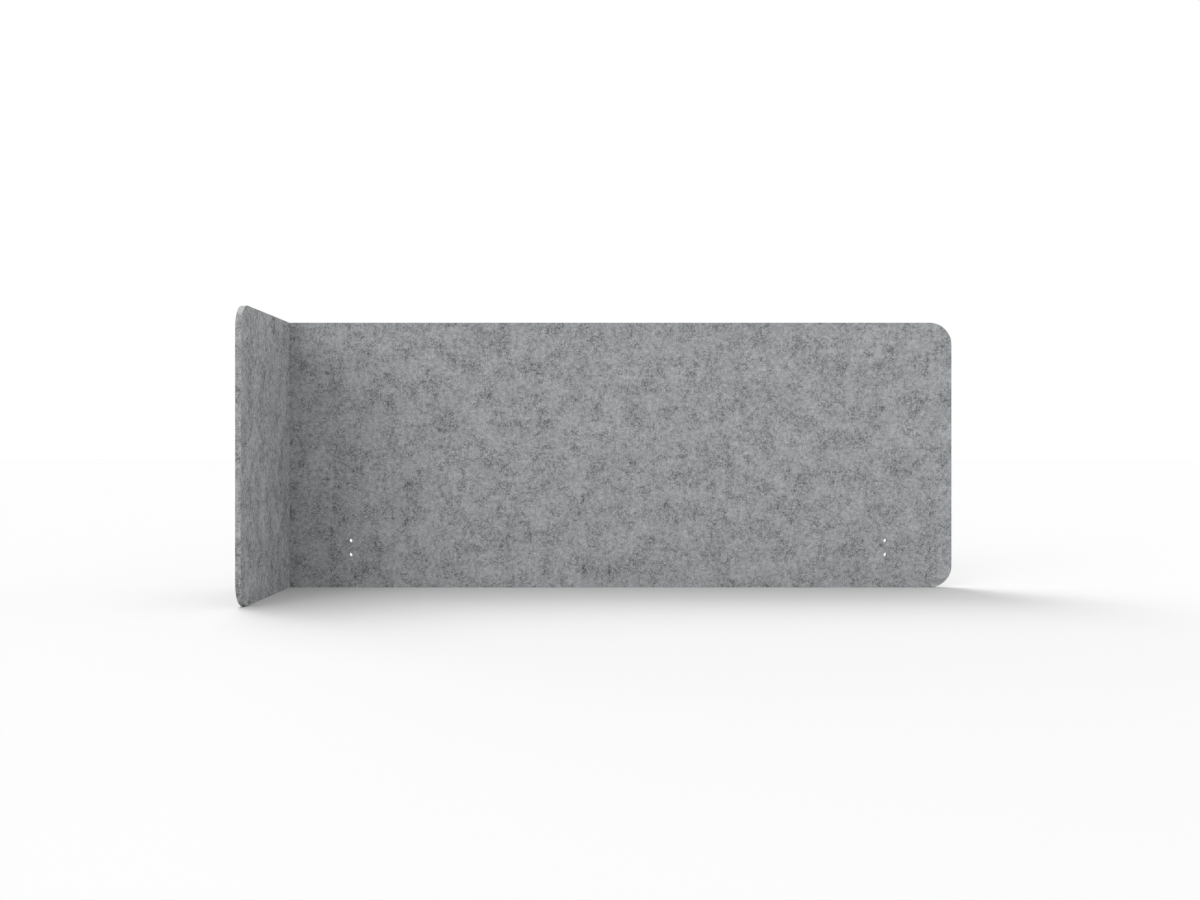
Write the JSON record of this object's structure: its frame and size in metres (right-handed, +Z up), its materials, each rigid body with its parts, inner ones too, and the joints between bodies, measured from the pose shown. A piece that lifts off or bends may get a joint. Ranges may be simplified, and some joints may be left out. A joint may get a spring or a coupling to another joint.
{
  "type": "acoustic divider screen",
  "caption": "L-shaped acoustic desk screen of grey marled felt board, grooved and folded at one corner, with bracket holes along the bottom.",
  "frame": {"origin": "middle of the outer box, at the bottom edges that the screen stands on", "axes": "+X along the long leaf away from the fold, +Y from the user's side towards the back of the screen, +Z up"},
  "size_m": [1.512, 0.412, 0.6],
  "materials": {
    "felt_board": "matte",
    "felt_skin": "matte"
  },
  "bodies": {
    "main_leaf": {"main_panel": "felt_board", "fold_skin": "felt_skin"},
    "wing_leaf": {"wing_panel": "felt_board"}
  },
  "joints": [
    {"name": "wing_fold", "type": "hinge", "parent": "main_leaf", "child": "wing_leaf", "pos_m": [-0.75479, 0.20479, 0], "axis": [0, 0, -1], "range_deg": [0, 90], "deforming": ["fold_skin"]}
  ]
}
